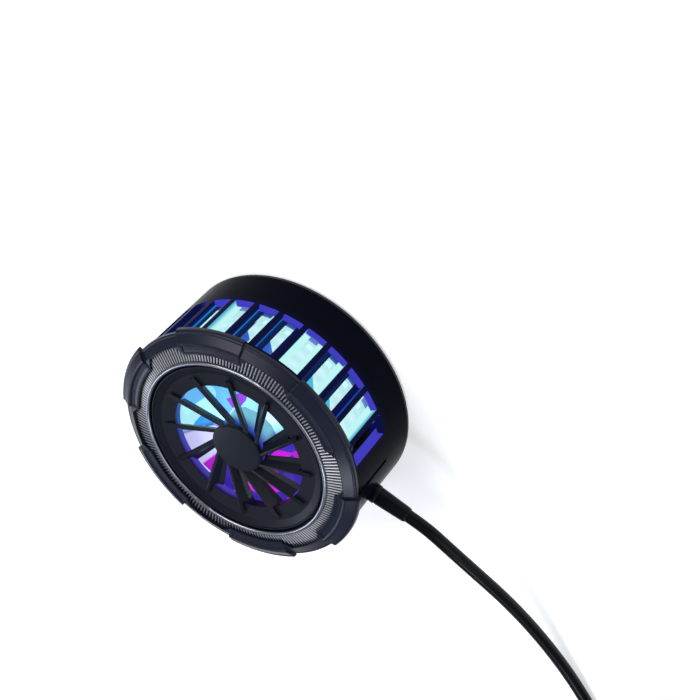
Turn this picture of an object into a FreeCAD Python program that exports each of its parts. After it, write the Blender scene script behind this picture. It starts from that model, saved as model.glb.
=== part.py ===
import FreeCAD, Part

import math
import os

from FreeCAD import Vector

# Cooling wireless charger: a round drum that holds on by magnets, charges through
# a flat coil, and blows its heat out through a ring of lit windows.
# The contact face lies on z = 0, the fan faces +Z and the lead leaves along +X.
# All sizes are millimetres and degrees.

# Clearances
fit_gap = 0.05
bearing_gap = 0.04
running_gap = 0.35
part_gap = 0.3

# Drum housing
drum_radius = 28.0
drum_wall = 1.6
wall_height = 21.7
edge_break = 0.3
sill_height = 9.2
light_ledge_thickness = 1.0
light_ledge_depth = 2.0
front_ledge_thickness = 1.0
front_ledge_depth = 1.1
front_ledge_drop = 0.5
cable_sector = 37.0
groove_width = 1.1
groove_depth = 0.25
groove_angles = (-16.5, 16.5)

# Windows in the drum
window_count = 25
window_pitch = 12.0
window_height = 11.7
rib_width = 1.25

# Contact side
pad_thickness = 0.6
pad_proud = 0.3
cover_rim_width = 1.6
cover_floor = 1.0
cover_rim = 0.9

# Charging stack
coil_edge_gap = 0.3
coil_winding_width = 11.4
coil_thickness = 0.9
coil_turns = 10
ferrite_thickness = 0.6
magnet_count = 18
magnet_gap_degrees = 1.6
magnet_thickness = 2.4
magnet_width = 3.0
magnet_edge_gap = 0.3
carrier_web = 0.9

# Cooling stack
cold_plate_thickness = 1.4
module_plate = 0.7
module_leg_height = 1.4
module_leg_side = 1.2
module_leg_rows = 7
insulation_wall = 1.0
insulation_corner = 1.5
thermal_pad_inset = 1.0
thermal_pad_thickness = 0.4
heatsink_air_gap = 6.8
heatsink_base = 1.5
heatsink_core_radius = 7.4
fin_count = 36
fin_height = 4.2
fin_thickness = 0.6

# Boards
board_thickness = 1.0
main_board_inner_gap = 0.8
main_board_web = 1.144
main_board_edge_gap = 1.0
light_board_width = 5.75
light_board_thickness = 0.8
diode_side = 1.3
diode_height = 0.8
choke_side = 5.2
choke_height = 1.9
choke_angles = (90, 205)
chip_side = 4.4
chip_height = 1.0
chip_angles = (15, 262)
driver_length = 5.0
driver_width = 3.0
driver_height = 1.1
driver_angles = (128, 330)
capacitor_length = 3.2
capacitor_width = 1.8
capacitor_height = 1.4
capacitor_angles = (155, 235)

# Light ring and prism disc
light_ring_setback = 1.4
light_ring_thickness = 1.5
light_skirt_thickness = 0.6
light_panel_recess = 0.5
light_slot_width = 1.4
prism_sides = 12
prism_hub_gap = 0.7
prism_rim_gap = 3.7
prism_middle_share = 0.46
prism_seat_width = 1.4
prism_gap = 2.9
prism_dish = 1.2
prism_facet_step = 1.2
prism_underside_rise = 1.8

# Fan shroud
shroud_thickness = 0.8
shroud_lip_depth = 1.9
shroud_lip_width = 0.8
dish_edge_height = 0.65
dish_floor_width = 3.3
dish_floor_height = 0.9
dish_rim_height = 1.75
dish_rim_width = 0.5
dish_slope_width = 2.0

# Rim ring and knurled ring
rim_ring_gap = 0.4
rim_ring_width = 0.9
rim_ring_height = 2.2
knurl_teeth = 200
knurl_tooth_depth = 0.35
knurl_inner_height = 1.75
knurl_outer_height = 0.8
knurl_outer_gap = 0.1
knurl_width = 4.05

# Front bezel
bezel_overhang = 0.3
pad_step_out = 0.8
bezel_edge_height = 0.55
bezel_slope_height = 2.1
bezel_flange_thickness = 0.55
bezel_crest_setback = 0.7
bezel_crest_height = 2.45
bezel_window_cover = 0.5
bezel_window_step = 1.8
wide_window_half_angle = 9.5
narrow_window_half_angle = 15.0
bezel_pads = 6
bezel_pad_half_angle = 16.5
bezel_trough_half_angle = 15.0

# Fan
hub_radius = 5.9
hub_wall_share = 0.1525
hub_plate = 1.1
hub_drop = 1.3
hub_boss_radius = 1.7
hub_boss_height = 0.6
cap_thickness = 0.3
cap_crown = 0.15
blade_count = 12
blade_overhang = 2.5
blade_phase = 22.4
blade_top_drop = 0.35
blade_root_drop = 0.9
blade_depth = 2.7
blade_pitch_angle = 45.0
blade_thickness = 0.9
blade_camber = 0.5
blade_edge_share = 0.585

# Motor
shaft_radius = 0.75
sleeve_wall_share = 0.12
bearing_tube_share = 0.135
motor_plate_thickness = 1.0
hub_floor_gap = 0.8
stator_core_height = 3.4
stator_ring_share = 0.387
stator_poles = 4
stator_arm_width = 1.2
stator_shoe_share = 0.276
stator_shoe_sweep = 70
winding_overhang = 0.5
winding_wall = 0.6
motor_board_thickness = 0.5
rotor_magnet_gap = 0.3
rotor_magnet_share = 0.085
rotor_magnet_height = 4.4

# Fasteners
screw_head_radius = 1.6
screw_head_height = 1.0
screw_shank_radius = 0.9
heatsink_screw_inset = 1.7
heatsink_screw_count = 3
motor_screw_inset = 0.55
motor_screw_count = 3
motor_screw_shank_radius = 0.5
motor_screw_head_radius = 0.95
motor_screw_head_height = 0.5

# Lead and what is on it
cable_radius = 1.4
cable_height = 13.0
gland_body_radius = 2.2
gland_flange_radius = 3.3
gland_flange_thickness = 1.2
gland_seat_gap = 0.25
relief_length = 8.9
relief_root_radius = 2.1
relief_tip_radius = 1.7
wire_radius = 0.5
wire_spacing = 1.3

lead_first_run = 4.5
lead_points = [
    (10.1, -1.6, 12.7),
    (17.9, -5.2, 11.1),
    (26.5, -10.5, 8.2),
    (35.9, -17.5, 5.1),
    (46.1, -25.7, 2.5),
    (55.9, -33.5, 1.5),
]
lead_last_run = 8.0

# Coil of the put-away length
coil_centre_ahead = 90.6
coil_centre_y = -30.2
coil_wind_radius = 23.5
coil_wind_pitch = 3.3
coil_layer_pitch = 3.3
coil_start_angle = -127.0
coil_full_turns = 8
coil_stations_per_turn = 4
tie_thickness = 0.6
tie_width = 6.0
tie_angle = 150.0
tie_clearance = 0.5
coil_lift = 0.1

# Plug
plug_length = 19.0
plug_width = 10.6
plug_height = 6.2
plug_corner = 2.4
plug_relief_length = 6.0
plug_relief_radius = 2.0
shell_length = 6.65
shell_width = 8.34
shell_height = 2.56
shell_wall = 0.3
slot_width = 6.75
slot_height = 0.8
slot_depth = 5.0
insert_recess = 0.3
tail_first_run = 5.5
tail_last_run = 6.0
tail_length = 19.5
tail_shift = 0.6

# Radii worked out from the drum wall inwards
drum_inner_radius = drum_radius - drum_wall
pad_radius = drum_radius - cover_rim_width
magnet_outer_radius = drum_inner_radius - magnet_edge_gap
magnet_inner_radius = magnet_outer_radius - magnet_width
carrier_outer_radius = magnet_inner_radius - fit_gap
carrier_inner_radius = carrier_outer_radius - carrier_web
ferrite_radius = carrier_inner_radius - fit_gap
coil_outer_radius = ferrite_radius - coil_edge_gap
coil_inner_radius = coil_outer_radius - coil_winding_width
heatsink_radius = drum_inner_radius - heatsink_air_gap
heatsink_screw_circle = heatsink_radius - heatsink_screw_inset
main_board_outer_radius = drum_inner_radius - main_board_edge_gap
main_board_inner_radius = heatsink_screw_circle - screw_shank_radius - fit_gap - main_board_web
insulation_reach = main_board_inner_radius - main_board_inner_gap
insulation_half = insulation_corner + (insulation_reach - insulation_corner) / math.sqrt(2)
module_side = 2 * (insulation_half - insulation_wall - fit_gap)
thermal_pad_side = module_side - 2 * thermal_pad_inset
light_board_outer_radius = drum_inner_radius - fit_gap
light_board_inner_radius = light_board_outer_radius - light_board_width
light_ring_radius = drum_inner_radius - light_ring_setback
light_skirt_radius = light_ring_radius - light_ring_thickness - light_skirt_thickness
knurl_outer_radius = drum_inner_radius - knurl_outer_gap
knurl_inner_radius = knurl_outer_radius - knurl_width
rim_ring_outer_radius = knurl_inner_radius - fit_gap
rim_ring_inner_radius = rim_ring_outer_radius - rim_ring_width
dish_rim_radius = rim_ring_inner_radius - rim_ring_gap
dish_floor_radius = dish_rim_radius - dish_slope_width
shroud_opening_radius = dish_floor_radius - dish_floor_width
blade_tip_radius = shroud_opening_radius + blade_overhang
blade_edge_offset = blade_edge_share * hub_radius
wide_window_radius = knurl_outer_radius - bezel_window_cover
narrow_window_radius = wide_window_radius - bezel_window_step
bezel_crest_radius = wide_window_radius + bezel_crest_setback
prism_inner_radius = hub_radius + prism_hub_gap
prism_outer_radius = light_skirt_radius - prism_rim_gap
prism_middle_radius = prism_inner_radius + prism_middle_share * (prism_outer_radius - prism_inner_radius)
motor_plate_radius = prism_inner_radius + prism_seat_width
motor_screw_circle = hub_radius - motor_screw_inset
hub_wall = hub_wall_share * hub_radius
rotor_magnet_thickness = rotor_magnet_share * hub_radius
sleeve_wall = sleeve_wall_share * hub_radius
bearing_tube_wall = bearing_tube_share * hub_radius
stator_core_radius = hub_radius - hub_wall - rotor_magnet_thickness - rotor_magnet_gap
sleeve_radius = shaft_radius + bearing_gap + sleeve_wall
tube_radius = sleeve_radius + fit_gap + bearing_tube_wall
stator_room = stator_core_radius - tube_radius - fit_gap
stator_ring_wall = stator_ring_share * stator_room
stator_shoe_thickness = stator_shoe_share * stator_room

# Heights worked out from the stack, from the contact face up
origin = Vector(0, 0, 0)
up = Vector(0, 0, 1)
cover_bottom = pad_proud
cover_top = pad_thickness + cover_floor
drum_base = cover_bottom + cover_rim
drum_top = drum_base + wall_height
sill = drum_base + sill_height
window_top = sill + window_height

ferrite_bottom = cover_top + coil_thickness
cold_plate_bottom = ferrite_bottom + ferrite_thickness
cold_plate_top = cold_plate_bottom + cold_plate_thickness
module_top = cold_plate_top + 2 * module_plate + module_leg_height
heatsink_bottom = module_top + thermal_pad_thickness
heatsink_floor = heatsink_bottom + heatsink_base
heatsink_top = heatsink_floor + fin_height
board_top = cold_plate_top + board_thickness
light_board_top = sill + light_board_thickness
diode_top = light_board_top + diode_height

front_ledge_top = drum_top - front_ledge_drop
shroud_top = front_ledge_top + shroud_thickness
front_plane = shroud_top + rim_ring_height
light_ring_bottom = diode_top + part_gap

motor_plate_top = heatsink_top + motor_plate_thickness
hub_top = front_plane - hub_drop
hub_bottom = motor_plate_top + hub_floor_gap
boss_bottom = hub_top - hub_plate - hub_boss_height
tube_top = boss_bottom - part_gap
stator_bottom = motor_plate_top + motor_board_thickness + winding_overhang + fit_gap
stator_top = stator_bottom + stator_core_height
blade_top = front_plane - blade_top_drop
blade_bottom = blade_top - blade_depth
prism_rim_top = blade_bottom - prism_gap

strain_relief_end = drum_radius + relief_length
coil_centre_x = strain_relief_end + coil_centre_ahead
coil_floor = cable_radius + tie_thickness + coil_lift
coil_total_turns = coil_full_turns - coil_start_angle / 360.0
coil_layer_turns = (coil_total_turns - 0.5) / 2


def at(radius, degrees, height):
    angle = math.radians(degrees)
    return Vector(radius * math.cos(angle), radius * math.sin(angle), height)


def turned(outline, sweep=360.0, start=0.0):
    """Solid turned about Z from (radius, height) corners.

    A corner with four numbers is reached by an arc through its last two.
    """
    edges = []
    last = outline[-1]
    for corner in outline:
        a = Vector(last[0], 0, last[1])
        b = Vector(corner[0], 0, corner[1])
        if len(corner) == 4:
            edges.append(Part.Arc(a, Vector(corner[2], 0, corner[3]), b).toShape())
        else:
            edges.append(Part.LineSegment(a, b).toShape())
        last = corner
    solid = Part.Face(Part.Wire(edges)).revolve(origin, up, sweep)
    solid.rotate(origin, up, start)
    return solid


def ring(outer, inner, bottom, top, sweep=360.0, start=0.0):
    return turned([(inner, bottom), (outer, bottom), (outer, top), (inner, top)], sweep, start)


def cylinder(radius, bottom, top, x=0.0, y=0.0):
    return Part.makeCylinder(radius, top - bottom, Vector(x, y, bottom))


def block(x0, x1, y0, y1, z0, z1):
    return Part.makeBox(x1 - x0, y1 - y0, z1 - z0, Vector(x0, y0, z0))


def polygon_face(corners):
    return Part.Face(Part.makePolygon(list(corners) + [corners[0]]))


def prism(corners, bottom, top):
    """Upright solid on a flat outline of (x, y) corners."""
    face = polygon_face([Vector(x, y, bottom) for x, y in corners])
    return face.extrude(Vector(0, 0, top - bottom))


def turned_copies(shape, count, step=None, start=0.0):
    step = 360.0 / count if step is None else step
    copies = []
    for index in range(count):
        copy = shape.copy()
        copy.rotate(origin, up, start + index * step)
        copies.append(copy)
    return copies


def fused(shapes):
    first = shapes[0]
    return first.fuse(shapes[1:]).removeSplitter() if len(shapes) > 1 else first


def save(name, shape):
    shape.exportStep("parts/" + name + ".step")


def window_angles():
    half_span = (window_count - 1) * window_pitch / 2
    return [180.0 - half_span + index * window_pitch for index in range(window_count)]


def window_width():
    return 2 * drum_radius * math.sin(math.radians(window_pitch / 2)) - rib_width


# Contact side


def contact_pad():
    return turned([
        (0, 0),
        (pad_radius - edge_break, 0),
        (pad_radius, edge_break, pad_radius - edge_break * 0.3, edge_break * 0.3),
        (pad_radius, pad_thickness),
        (0, pad_thickness),
    ])


def rear_cover():
    recess_radius = pad_radius + fit_gap
    seat_radius = drum_inner_radius - fit_gap
    return turned([
        (0, pad_thickness),
        (recess_radius, pad_thickness),
        (recess_radius, cover_bottom),
        (drum_radius - edge_break, cover_bottom),
        (drum_radius, cover_bottom + edge_break),
        (drum_radius, drum_base),
        (seat_radius, drum_base),
        (seat_radius, cover_top),
        (0, cover_top),
    ])


# Charging stack


def charging_coil():
    """Flat winding, with a rounded back to each turn."""
    turn = (coil_outer_radius - coil_inner_radius) / coil_turns
    groove = coil_thickness * 0.3
    outline = [(coil_inner_radius, cover_top), (coil_outer_radius, cover_top)]
    outline.append((coil_outer_radius, ferrite_bottom - groove))
    for index in range(coil_turns):
        outer = coil_outer_radius - index * turn
        outline.append((outer - turn / 2, ferrite_bottom))
        outline.append((outer - turn, ferrite_bottom - groove))
    return turned(outline)


def ferrite_sheet():
    return cylinder(ferrite_radius, ferrite_bottom, cold_plate_bottom)


def magnet_ring():
    sweep = 360.0 / magnet_count - magnet_gap_degrees
    magnet_top = cover_top + magnet_thickness
    magnet = ring(magnet_outer_radius, magnet_inner_radius, cover_top, magnet_top, sweep)
    return Part.makeCompound(turned_copies(magnet, magnet_count, start=magnet_gap_degrees / 2))


def coil_carrier():
    """Web between the coil and the magnets, with a flange over the magnets."""
    flange_bottom = cover_top + magnet_thickness
    return turned([
        (carrier_inner_radius, cover_top),
        (carrier_outer_radius, cover_top),
        (carrier_outer_radius, flange_bottom),
        (magnet_outer_radius, flange_bottom),
        (magnet_outer_radius, cold_plate_top),
        (carrier_inner_radius, cold_plate_top),
    ])


# Cooling stack


def heatsink_screw_places():
    step = 360.0 / heatsink_screw_count
    return [at(heatsink_screw_circle, 60 + index * step, 0) for index in range(heatsink_screw_count)]


def cold_plate():
    plate = cylinder(ferrite_radius, cold_plate_bottom, cold_plate_top)
    holes = [
        cylinder(screw_shank_radius, cold_plate_bottom, cold_plate_top, place.x, place.y)
        for place in heatsink_screw_places()
    ]
    return plate.cut(holes)


def thermoelectric_module():
    """Two ceramic plates joined by rows of small legs."""
    half = module_side / 2
    lower_top = cold_plate_top + module_plate
    upper_bottom = lower_top + module_leg_height
    pitch = (module_side - module_leg_side) / (module_leg_rows - 1)
    shapes = [
        block(-half, half, -half, half, cold_plate_top, lower_top),
        block(-half, half, -half, half, upper_bottom, module_top),
    ]
    for row in range(module_leg_rows):
        for column in range(module_leg_rows):
            x = -half + row * pitch
            y = -half + column * pitch
            shapes.append(
                block(x, x + module_leg_side, y, y + module_leg_side, lower_top, upper_bottom)
            )
    return fused(shapes)


def insulation_frame():
    """Square foam frame round the module, with rounded outer corners."""
    hole = insulation_half - insulation_wall
    half = insulation_half
    frame = block(-half, half, -half, half, cold_plate_top, heatsink_bottom)
    uprights = [edge for edge in frame.Edges if edge.BoundBox.ZLength > 0.1]
    frame = frame.makeFillet(insulation_corner, uprights)
    return frame.cut(block(-hole, hole, -hole, hole, cold_plate_top, heatsink_bottom))


def thermal_pad():
    half = thermal_pad_side / 2
    return block(-half, half, -half, half, module_top, heatsink_bottom)


def heatsink():
    """Round base with a core and radial fins, open at the three screw heads."""
    base = cylinder(heatsink_radius, heatsink_bottom, heatsink_floor)
    core = cylinder(heatsink_core_radius, heatsink_floor, heatsink_top)
    fin = block(
        heatsink_core_radius - fin_thickness,
        heatsink_radius - fin_thickness,
        -fin_thickness / 2,
        fin_thickness / 2,
        heatsink_floor,
        heatsink_top,
    )
    body = fused([base, core] + turned_copies(fin, fin_count))
    cuts = []
    for place in heatsink_screw_places():
        cuts.append(cylinder(screw_shank_radius, heatsink_bottom, heatsink_floor, place.x, place.y))
        well = screw_head_radius + part_gap
        cuts.append(cylinder(well, heatsink_floor, heatsink_top, place.x, place.y))
    screw_depth = 2.5
    for place in motor_screw_places():
        cuts.append(
            cylinder(motor_screw_shank_radius, heatsink_top - screw_depth, heatsink_top, place.x, place.y)
        )
    return body.cut(cuts)


def screw(place, head_bottom, head_radius, head_height, shank_radius, tip):
    head = turned([
        (0, head_bottom),
        (head_radius, head_bottom),
        (head_radius, head_bottom + head_height * 0.6),
        (head_radius * 0.75, head_bottom + head_height),
        (0, head_bottom + head_height),
    ])
    body = head.fuse(cylinder(shank_radius, tip, head_bottom)).removeSplitter()
    slot = head_radius * 0.22
    depth = head_height * 0.4
    top = head_bottom + head_height
    reach = head_radius * 0.6
    body = body.cut([
        block(-reach, reach, -slot, slot, top - depth, top),
        block(-slot, slot, -reach, reach, top - depth, top),
    ])
    body.translate(Vector(place.x, place.y, 0))
    return body


def heatsink_screws():
    return Part.makeCompound([
        screw(place, heatsink_floor, screw_head_radius, screw_head_height, screw_shank_radius,
              cold_plate_bottom + fit_gap)
        for place in heatsink_screw_places()
    ])


# Boards


def main_board():
    board = ring(main_board_outer_radius, main_board_inner_radius, cold_plate_top, board_top)
    hole = screw_shank_radius + fit_gap
    cuts = [
        cylinder(hole, cold_plate_top, board_top, place.x, place.y) for place in heatsink_screw_places()
    ]
    return board.cut(cuts)


def board_components():
    """Chips, chokes and capacitors that stand on the main board, each a solid of its own."""
    middle = (main_board_inner_radius + main_board_outer_radius) / 2
    kinds = [
        (choke_angles, choke_side, choke_side, choke_height),
        (chip_angles, chip_side, chip_side, chip_height),
        (driver_angles, driver_width, driver_length, driver_height),
        (capacitor_angles, capacitor_length, capacitor_width, capacitor_height),
    ]
    shapes = []
    for angles, radial, across, height in kinds:
        for angle in angles:
            part = block(
                middle - radial / 2, middle + radial / 2, -across / 2, across / 2,
                board_top, board_top + height,
            )
            part.rotate(origin, up, angle)
            shapes.append(part)
    return Part.makeCompound(shapes)


def light_span():
    """Start angle and sweep of the pieces that leave the cable sector open."""
    return cable_sector, 360.0 - 2 * cable_sector


def light_board():
    start, sweep = light_span()
    return ring(light_board_outer_radius, light_board_inner_radius, sill, light_board_top, sweep, start)


def diode_circle():
    return light_ring_radius - light_ring_thickness / 2


def light_diodes():
    middle = diode_circle()
    diode = block(
        middle - diode_side / 2, middle + diode_side / 2, -diode_side / 2, diode_side / 2,
        light_board_top, diode_top,
    )
    diodes = []
    for angle in window_angles()[1:-1]:
        copy = diode.copy()
        copy.rotate(origin, up, angle)
        diodes.append(copy)
    return Part.makeCompound(diodes)


def light_ring():
    """Clear moulding: an inner skirt on the light board, and thick panels behind the windows."""
    start, sweep = light_span()
    inner = light_ring_radius - light_ring_thickness
    body = turned([
        (light_skirt_radius, light_board_top),
        (inner, light_board_top),
        (inner, light_ring_bottom),
        (light_ring_radius, light_ring_bottom),
        (light_ring_radius, front_ledge_top),
        (light_skirt_radius, front_ledge_top),
    ], sweep, start)
    slots = []
    floor = light_ring_bottom - part_gap
    for angle in window_angles()[:-1]:
        slot = block(
            light_ring_radius - light_panel_recess, light_ring_radius + 1,
            -light_slot_width / 2, light_slot_width / 2, floor, front_ledge_top + 1,
        )
        slot.rotate(origin, up, angle + window_pitch / 2)
        slots.append(slot)
    return body.cut(slots)


# Drum housing


def drum_housing():
    """Wall with two inner ledges, a band of windows, two grooves and the cable gland's hole."""
    inner = drum_inner_radius
    light_ledge = inner - light_ledge_depth
    front_ledge = inner - front_ledge_depth
    front_ledge_bottom = front_ledge_top - front_ledge_thickness
    light_ledge_bottom = sill - light_ledge_thickness
    wall = turned([
        (inner, drum_base),
        (drum_radius, drum_base),
        (drum_radius, drum_top),
        (inner, drum_top),
        (inner, front_ledge_top),
        (front_ledge, front_ledge_top),
        (front_ledge, front_ledge_bottom),
        (inner, front_ledge_bottom - front_ledge_depth * 0.5),
        (inner, sill),
        (light_ledge, sill),
        (light_ledge, light_ledge_bottom),
        (inner, light_ledge_bottom - light_ledge_depth * 0.5),
    ])
    half = window_width() / 2
    cutters = []
    for angle in window_angles():
        cutter = block(inner - 0.02, drum_radius + 1, -half, half, sill, window_top)
        cutter.rotate(origin, up, angle)
        cutters.append(cutter)
    half = groove_width / 2
    for angle in groove_angles:
        groove = block(drum_radius - groove_depth, drum_radius + 1, -half, half, sill, window_top)
        groove.rotate(origin, up, angle)
        cutters.append(groove)
    hole = Part.makeCylinder(
        gland_body_radius + fit_gap, drum_wall + 2, Vector(inner - 1, 0, cable_height), Vector(1, 0, 0)
    )
    cutters.append(hole)
    clearance = gland_flange_radius + part_gap
    pocket = block(
        inner - light_ledge_depth - 1, inner, -clearance, clearance,
        light_ledge_bottom - light_ledge_depth, sill + 1,
    )
    cutters.append(pocket.common(cylinder(inner, 0, drum_top)))
    return wall.cut(cutters)


# Front pieces


def fan_shroud():
    """Dished plate: the rim outside, the fan opening with its short inner lip inside."""
    lip_outer = shroud_opening_radius + shroud_lip_width
    rim_inner = dish_rim_radius - dish_rim_width
    rim_top = shroud_top + dish_rim_height
    round_over = dish_rim_width / 2
    return turned([
        (shroud_opening_radius, shroud_top + dish_edge_height - shroud_lip_depth),
        (lip_outer, shroud_top + dish_edge_height - shroud_lip_depth),
        (lip_outer, front_ledge_top),
        (drum_inner_radius - fit_gap, front_ledge_top),
        (drum_inner_radius - fit_gap, shroud_top),
        (dish_rim_radius, shroud_top),
        (dish_rim_radius, rim_top - round_over),
        (rim_inner, rim_top - round_over, dish_rim_radius - round_over, rim_top),
        (dish_floor_radius, shroud_top + dish_floor_height),
        (shroud_opening_radius, shroud_top + dish_edge_height),
    ])


def rim_ring():
    """Thin polished ring, half round in front."""
    shoulder = front_plane - rim_ring_width / 2
    middle = (rim_ring_outer_radius + rim_ring_inner_radius) / 2
    return turned([
        (rim_ring_inner_radius, shroud_top),
        (rim_ring_outer_radius, shroud_top),
        (rim_ring_outer_radius, shoulder),
        (rim_ring_inner_radius, shoulder, middle, front_plane),
    ])


def knurl_height(radius):
    """Height of the tooth crests, which fall towards the drum wall."""
    inner = shroud_top + knurl_inner_height
    outer = shroud_top + knurl_outer_height
    share = (radius - knurl_inner_radius) / (knurl_outer_radius - knurl_inner_radius)
    return inner + share * (outer - inner)


def knurled_ring():
    """Ring with radial teeth all over its sloping front face."""
    rings = {"inner": [], "outer": [], "inner_floor": [], "outer_floor": []}
    for index in range(2 * knurl_teeth):
        degrees = index * 180.0 / knurl_teeth
        drop = knurl_tooth_depth * (index % 2)
        rings["inner"].append(at(knurl_inner_radius, degrees, knurl_height(knurl_inner_radius) - drop))
        rings["outer"].append(at(knurl_outer_radius, degrees, knurl_height(knurl_outer_radius) - drop))
        rings["inner_floor"].append(at(knurl_inner_radius, degrees, shroud_top))
        rings["outer_floor"].append(at(knurl_outer_radius, degrees, shroud_top))
    faces = []
    for index in range(2 * knurl_teeth):
        after = (index + 1) % (2 * knurl_teeth)
        a, b = rings["inner"][index], rings["inner"][after]
        c, d = rings["outer"][index], rings["outer"][after]
        e, f = rings["inner_floor"][index], rings["inner_floor"][after]
        g, h = rings["outer_floor"][index], rings["outer_floor"][after]
        crest_first = index % 2 == 0
        if crest_first:
            faces.append(polygon_face([a, c, b]))
            faces.append(polygon_face([b, c, d]))
        else:
            faces.append(polygon_face([a, d, b]))
            faces.append(polygon_face([a, c, d]))
        faces.append(polygon_face([c, g, h, d]))
        faces.append(polygon_face([a, b, f, e]))
    outer_wire = Part.makePolygon(rings["outer_floor"] + [rings["outer_floor"][0]])
    inner_wire = Part.makePolygon(rings["inner_floor"] + [rings["inner_floor"][0]])
    faces.append(Part.Face(outer_wire).cut(Part.Face(inner_wire)).Faces[0])
    solid = Part.Solid(Part.makeShell(faces))
    if solid.Volume < 0:
        solid.reverse()
    return solid


def sector(radius, half_angle, bottom, top):
    """Upright wedge about +X, as wide as twice the half angle."""
    points = [origin, at(radius, -half_angle, 0), at(radius, half_angle, 0)]
    edges = [
        Part.LineSegment(points[0], points[1]).toShape(),
        Part.Arc(points[1], at(radius, 0, 0), points[2]).toShape(),
        Part.LineSegment(points[2], points[0]).toShape(),
    ]
    wedge = Part.Face(Part.Wire(edges)).extrude(Vector(0, 0, top - bottom))
    wedge.translate(Vector(0, 0, bottom))
    return wedge


def front_bezel():
    """Armour ring: six raised pads, and six cut-outs that show the knurl."""
    base = drum_top
    wall_inner = drum_inner_radius
    low_outer = drum_radius + bezel_overhang
    pad_outer = low_outer + pad_step_out
    slope_top = base + bezel_slope_height
    under_wide = knurl_height(wide_window_radius) + fit_gap
    under_wall = knurl_height(knurl_outer_radius) + fit_gap
    under_narrow = knurl_height(narrow_window_radius) + fit_gap
    edge_top = base + bezel_edge_height
    low = turned([
        (wall_inner, base),
        (low_outer, base),
        (low_outer, edge_top),
        (low_outer - 0.5, edge_top + 0.42, low_outer - 0.14, edge_top + 0.29),
        (wide_window_radius, slope_top),
        (wide_window_radius, under_wide),
        (wall_inner, under_wall),
    ])
    inner_top = under_narrow + bezel_flange_thickness
    crest = base + bezel_crest_height
    pad_edge_top = edge_top + 0.1
    pad = turned([
        (wall_inner, base),
        (pad_outer, base),
        (pad_outer, pad_edge_top),
        (pad_outer - 0.7, pad_edge_top + 0.62, pad_outer - 0.2, pad_edge_top + 0.42),
        (bezel_crest_radius + 0.3, crest - 0.14),
        (bezel_crest_radius - 0.1, crest),
        (wide_window_radius + 0.1, crest - 0.12),
        (narrow_window_radius, inner_top),
        (narrow_window_radius, under_narrow),
        (wall_inner, under_wall),
    ], 2 * bezel_pad_half_angle, -bezel_pad_half_angle)
    trough = turned([
        (narrow_window_radius + 0.45, inner_top - 0.12),
        (bezel_crest_radius - 0.55, inner_top - 0.06),
        (bezel_crest_radius - 0.3, crest + 0.5),
        (narrow_window_radius + 0.45, crest + 0.5),
    ], 2 * bezel_trough_half_angle, -bezel_trough_half_angle)
    pad = pad.cut(trough)
    flange = turned([
        (narrow_window_radius, under_narrow),
        (wide_window_radius + 0.2, knurl_height(wide_window_radius + 0.2) + fit_gap),
        (wide_window_radius + 0.2, slope_top - 0.05),
        (narrow_window_radius, inner_top),
    ], 360.0 / bezel_pads, -180.0 / bezel_pads)
    span = knurl_outer_radius
    half_step = 180.0 / bezel_pads
    flat = half_step - wide_window_half_angle
    slant = half_step - narrow_window_half_angle
    kept = [
        origin,
        at(narrow_window_radius, -slant, 0),
        at(wide_window_radius, -flat, 0),
        at(span + 1, -flat, 0),
        at(span + 2, 0, 0),
        at(span + 1, flat, 0),
        at(wide_window_radius, flat, 0),
        at(narrow_window_radius, slant, 0),
    ]
    keeper = prism([(corner.x, corner.y) for corner in kept], base - 1, crest + 1)
    flange = flange.common(keeper)
    shapes = [low]
    shapes += turned_copies(pad, bezel_pads)
    shapes += turned_copies(flange, bezel_pads)
    return fused(shapes)


# Fan and motor


def blade():
    """One swept blade on a straight edge that passes beside the axis, fan looking along +Z."""
    reach = math.sqrt(blade_tip_radius ** 2 - blade_edge_offset ** 2)
    stations = [
        (0, blade_top - blade_root_drop, blade_pitch_angle + 6),
        (reach * 0.5, blade_top - blade_root_drop * 0.4, blade_pitch_angle + 1),
        (reach + 1.0, blade_top, blade_pitch_angle - 4),
    ]
    wires = []
    for run, top, pitch in stations:
        slope = math.radians(pitch)
        chord = (top - blade_bottom + 0.6) / math.sin(slope)
        along = Vector(-math.cos(slope), 0, -math.sin(slope))
        normal = Vector(-math.sin(slope), 0, math.cos(slope))
        start = Vector(blade_edge_offset, run, top)
        middle = start + along * (chord / 2) - normal * blade_camber
        end = start + along * chord
        back = normal * -blade_thickness
        corners = [start, middle, end, end + back * 0.5, middle + back, start + back]
        wires.append(Part.makePolygon(corners + [corners[0]]))
    return Part.makeLoft(wires, True, True)


def fan_rotor():
    """Hub cup and blades in one moulding, trimmed to run clear of the dished shroud."""
    cup_inner = hub_radius - hub_wall
    plate_bottom = hub_top - hub_plate
    cup = turned([
        (cup_inner, hub_bottom),
        (hub_radius, hub_bottom),
        (hub_radius, hub_top),
        (shaft_radius, hub_top),
        (shaft_radius, boss_bottom),
        (hub_boss_radius, boss_bottom),
        (hub_boss_radius, plate_bottom),
        (cup_inner, plate_bottom),
    ])
    lip_radius = shroud_opening_radius - running_gap
    edge = shroud_top + dish_edge_height + running_gap
    floor = shroud_top + dish_floor_height + running_gap
    swept = turned([
        (hub_radius - 0.5, blade_bottom),
        (lip_radius, blade_bottom),
        (lip_radius, edge),
        (blade_tip_radius, edge + (floor - edge) * 0.75),
        (blade_tip_radius, blade_top),
        (hub_radius, hub_top),
        (hub_radius - 0.5, hub_top),
    ])
    sweep = math.degrees(math.acos(blade_edge_offset / blade_tip_radius))
    blades = []
    for piece in turned_copies(blade(), blade_count, start=blade_phase - sweep):
        blades.append(piece.common(swept))
    return fused([cup] + blades)


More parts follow.
